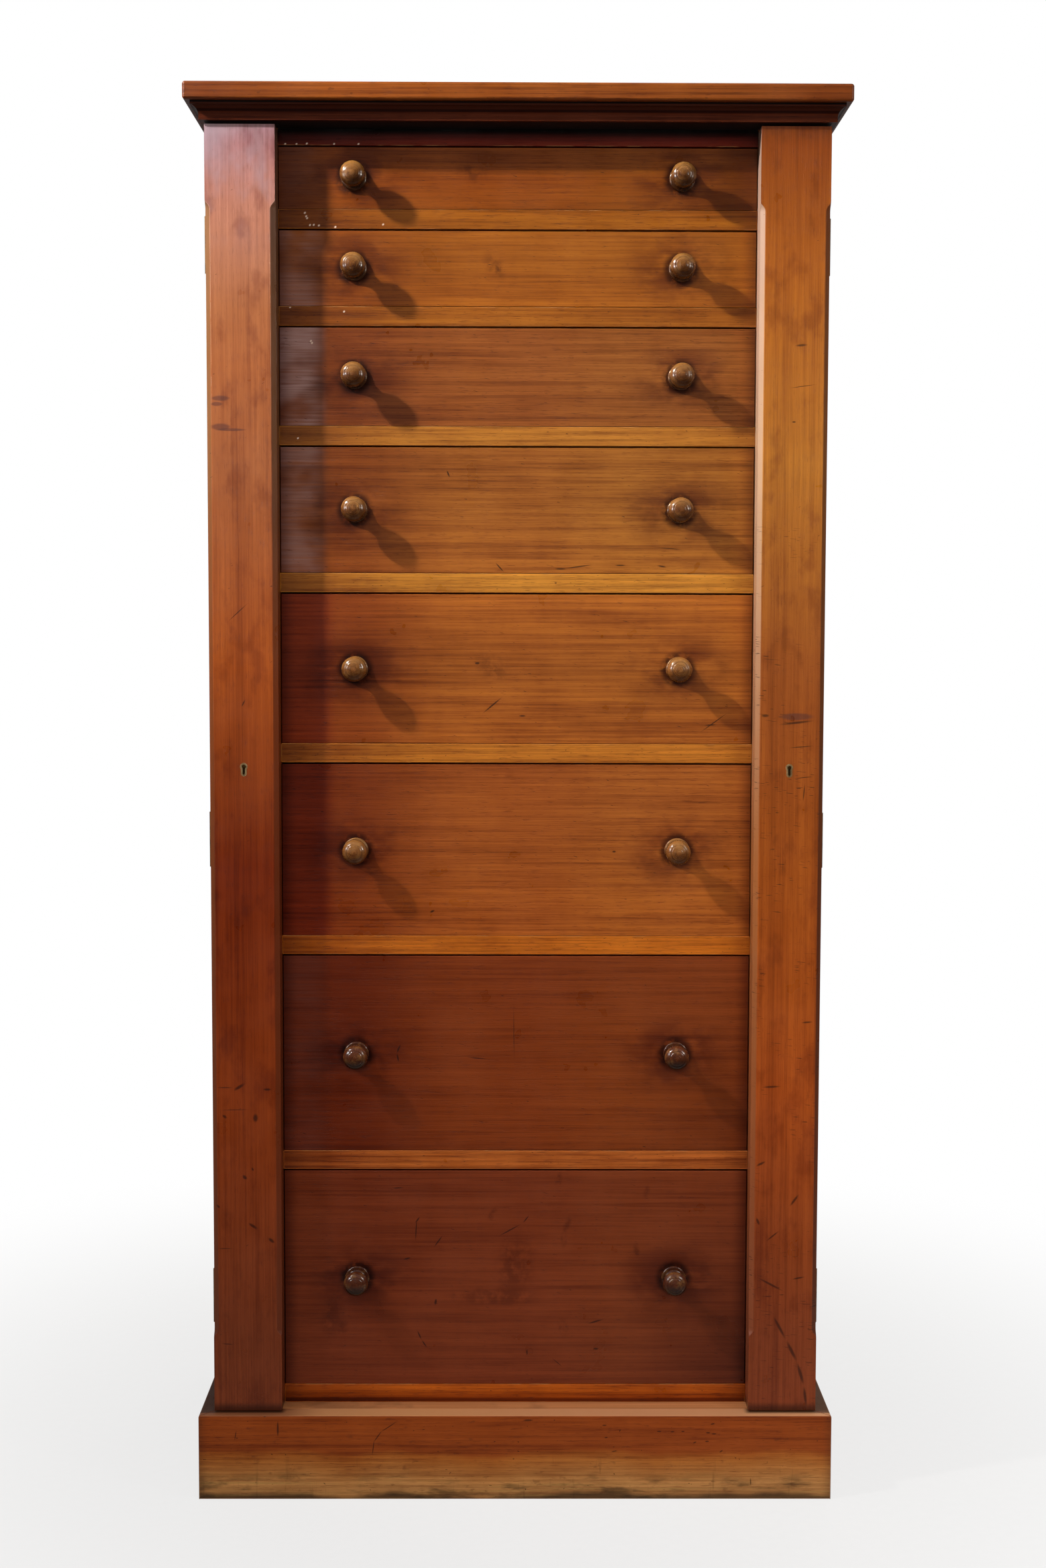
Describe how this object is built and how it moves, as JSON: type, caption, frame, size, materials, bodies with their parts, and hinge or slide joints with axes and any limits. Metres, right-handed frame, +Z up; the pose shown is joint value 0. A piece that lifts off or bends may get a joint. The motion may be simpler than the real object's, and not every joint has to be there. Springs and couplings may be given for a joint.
{
  "type": "side-locking chest of drawers",
  "caption": "Tall narrow chest of graduated drawers with turned knobs, a moulded top, a plinth, and hinged pilaster flaps that lock over the drawers.",
  "frame": {"origin": "on the floor, below the middle of the top board", "axes": "+Z up, +Y towards the back, the drawers open towards -Y"},
  "size_m": [0.7, 0.46, 1.5184],
  "materials": {
    "drawer_front_wood": "french polished",
    "rail_wood": "french polished",
    "flap_wood": "french polished",
    "carcass_wood": "french polished",
    "knob_wood": "french polished",
    "drawer_lining_wood": "waxed",
    "inner_pine": "bare",
    "aged_brass": "aged"
  },
  "bodies": {
    "carcass": {"plinth_front": "carcass_wood", "plinth_returns_and_back": "carcass_wood", "carcass_side_left": "carcass_wood", "carcass_side_right": "carcass_wood", "top_board": "carcass_wood", "cornice_moulding": "carcass_wood", "under_top": "carcass_wood", "front_stiles": "rail_wood", "front_rails": "rail_wood", "plinth_glue_blocks": "inner_pine", "bottom_board": "inner_pine", "back_boards": "inner_pine", "drawer_runners_and_guides": "inner_pine", "dust_boards": "inner_pine", "drawer_stops": "inner_pine", "link_plates": "aged_brass", "hinge_carcass_leaves_and_pins": "aged_brass"},
    "drawer_1": {"drawer_1_front": "drawer_front_wood", "drawer_1_box": "drawer_lining_wood", "drawer_1_bottom": "inner_pine", "drawer_1_knobs": "knob_wood"},
    "drawer_2": {"drawer_2_front": "drawer_front_wood", "drawer_2_box": "drawer_lining_wood", "drawer_2_bottom": "inner_pine", "drawer_2_knobs": "knob_wood"},
    "drawer_3": {"drawer_3_front": "drawer_front_wood", "drawer_3_box": "drawer_lining_wood", "drawer_3_bottom": "inner_pine", "drawer_3_knobs": "knob_wood"},
    "drawer_4": {"drawer_4_front": "drawer_front_wood", "drawer_4_box": "drawer_lining_wood", "drawer_4_bottom": "inner_pine", "drawer_4_knobs": "knob_wood"},
    "drawer_5": {"drawer_5_front": "drawer_front_wood", "drawer_5_box": "drawer_lining_wood", "drawer_5_bottom": "inner_pine", "drawer_5_knobs": "knob_wood"},
    "drawer_6": {"drawer_6_front": "drawer_front_wood", "drawer_6_box": "drawer_lining_wood", "drawer_6_bottom": "inner_pine", "drawer_6_knobs": "knob_wood"},
    "drawer_7": {"drawer_7_front": "drawer_front_wood", "drawer_7_box": "drawer_lining_wood", "drawer_7_bottom": "inner_pine", "drawer_7_knobs": "knob_wood"},
    "drawer_8": {"drawer_8_front": "drawer_front_wood", "drawer_8_box": "drawer_lining_wood", "drawer_8_bottom": "inner_pine", "drawer_8_knobs": "knob_wood"},
    "flap_left": {"flap_left": "flap_wood", "escutcheon_left": "aged_brass", "lock_case_left": "aged_brass", "hinge_flap_leaves_left": "aged_brass"},
    "lock_bolt_left": {"lock_bolt_left": "aged_brass"},
    "flap_right": {"flap_right": "flap_wood", "escutcheon_right": "aged_brass", "lock_case_right": "aged_brass", "hinge_flap_leaves_right": "aged_brass"},
    "lock_bolt_right": {"lock_bolt_right": "aged_brass"}
  },
  "joints": [
    {"name": "drawer_1_slide", "type": "slide", "parent": "carcass", "child": "drawer_1", "axis": [0, -1, 0], "range_m": [0, 0.3]},
    {"name": "drawer_2_slide", "type": "slide", "parent": "carcass", "child": "drawer_2", "axis": [0, -1, 0], "range_m": [0, 0.3]},
    {"name": "drawer_3_slide", "type": "slide", "parent": "carcass", "child": "drawer_3", "axis": [0, -1, 0], "range_m": [0, 0.3]},
    {"name": "drawer_4_slide", "type": "slide", "parent": "carcass", "child": "drawer_4", "axis": [0, -1, 0], "range_m": [0, 0.3]},
    {"name": "drawer_5_slide", "type": "slide", "parent": "carcass", "child": "drawer_5", "axis": [0, -1, 0], "range_m": [0, 0.3]},
    {"name": "drawer_6_slide", "type": "slide", "parent": "carcass", "child": "drawer_6", "axis": [0, -1, 0], "range_m": [0, 0.3]},
    {"name": "drawer_7_slide", "type": "slide", "parent": "carcass", "child": "drawer_7", "axis": [0, -1, 0], "range_m": [0, 0.3]},
    {"name": "drawer_8_slide", "type": "slide", "parent": "carcass", "child": "drawer_8", "axis": [0, -1, 0], "range_m": [0, 0.3]},
    {"name": "flap_left_hinge", "type": "hinge", "parent": "carcass", "child": "flap_left", "pos_m": [-0.3315, -0.1808, 0.78], "axis": [0, 0, -1], "range_deg": [0, 180]},
    {"name": "lock_bolt_left_slide", "type": "slide", "parent": "flap_left", "child": "lock_bolt_left", "axis": [0, 0, 1], "range_m": [0, 0.007]},
    {"name": "flap_right_hinge", "type": "hinge", "parent": "carcass", "child": "flap_right", "pos_m": [0.3315, -0.1808, 0.78], "axis": [0, 0, 1], "range_deg": [0, 180]},
    {"name": "lock_bolt_right_slide", "type": "slide", "parent": "flap_right", "child": "lock_bolt_right", "axis": [0, 0, 1], "range_m": [0, 0.007]}
  ]
}
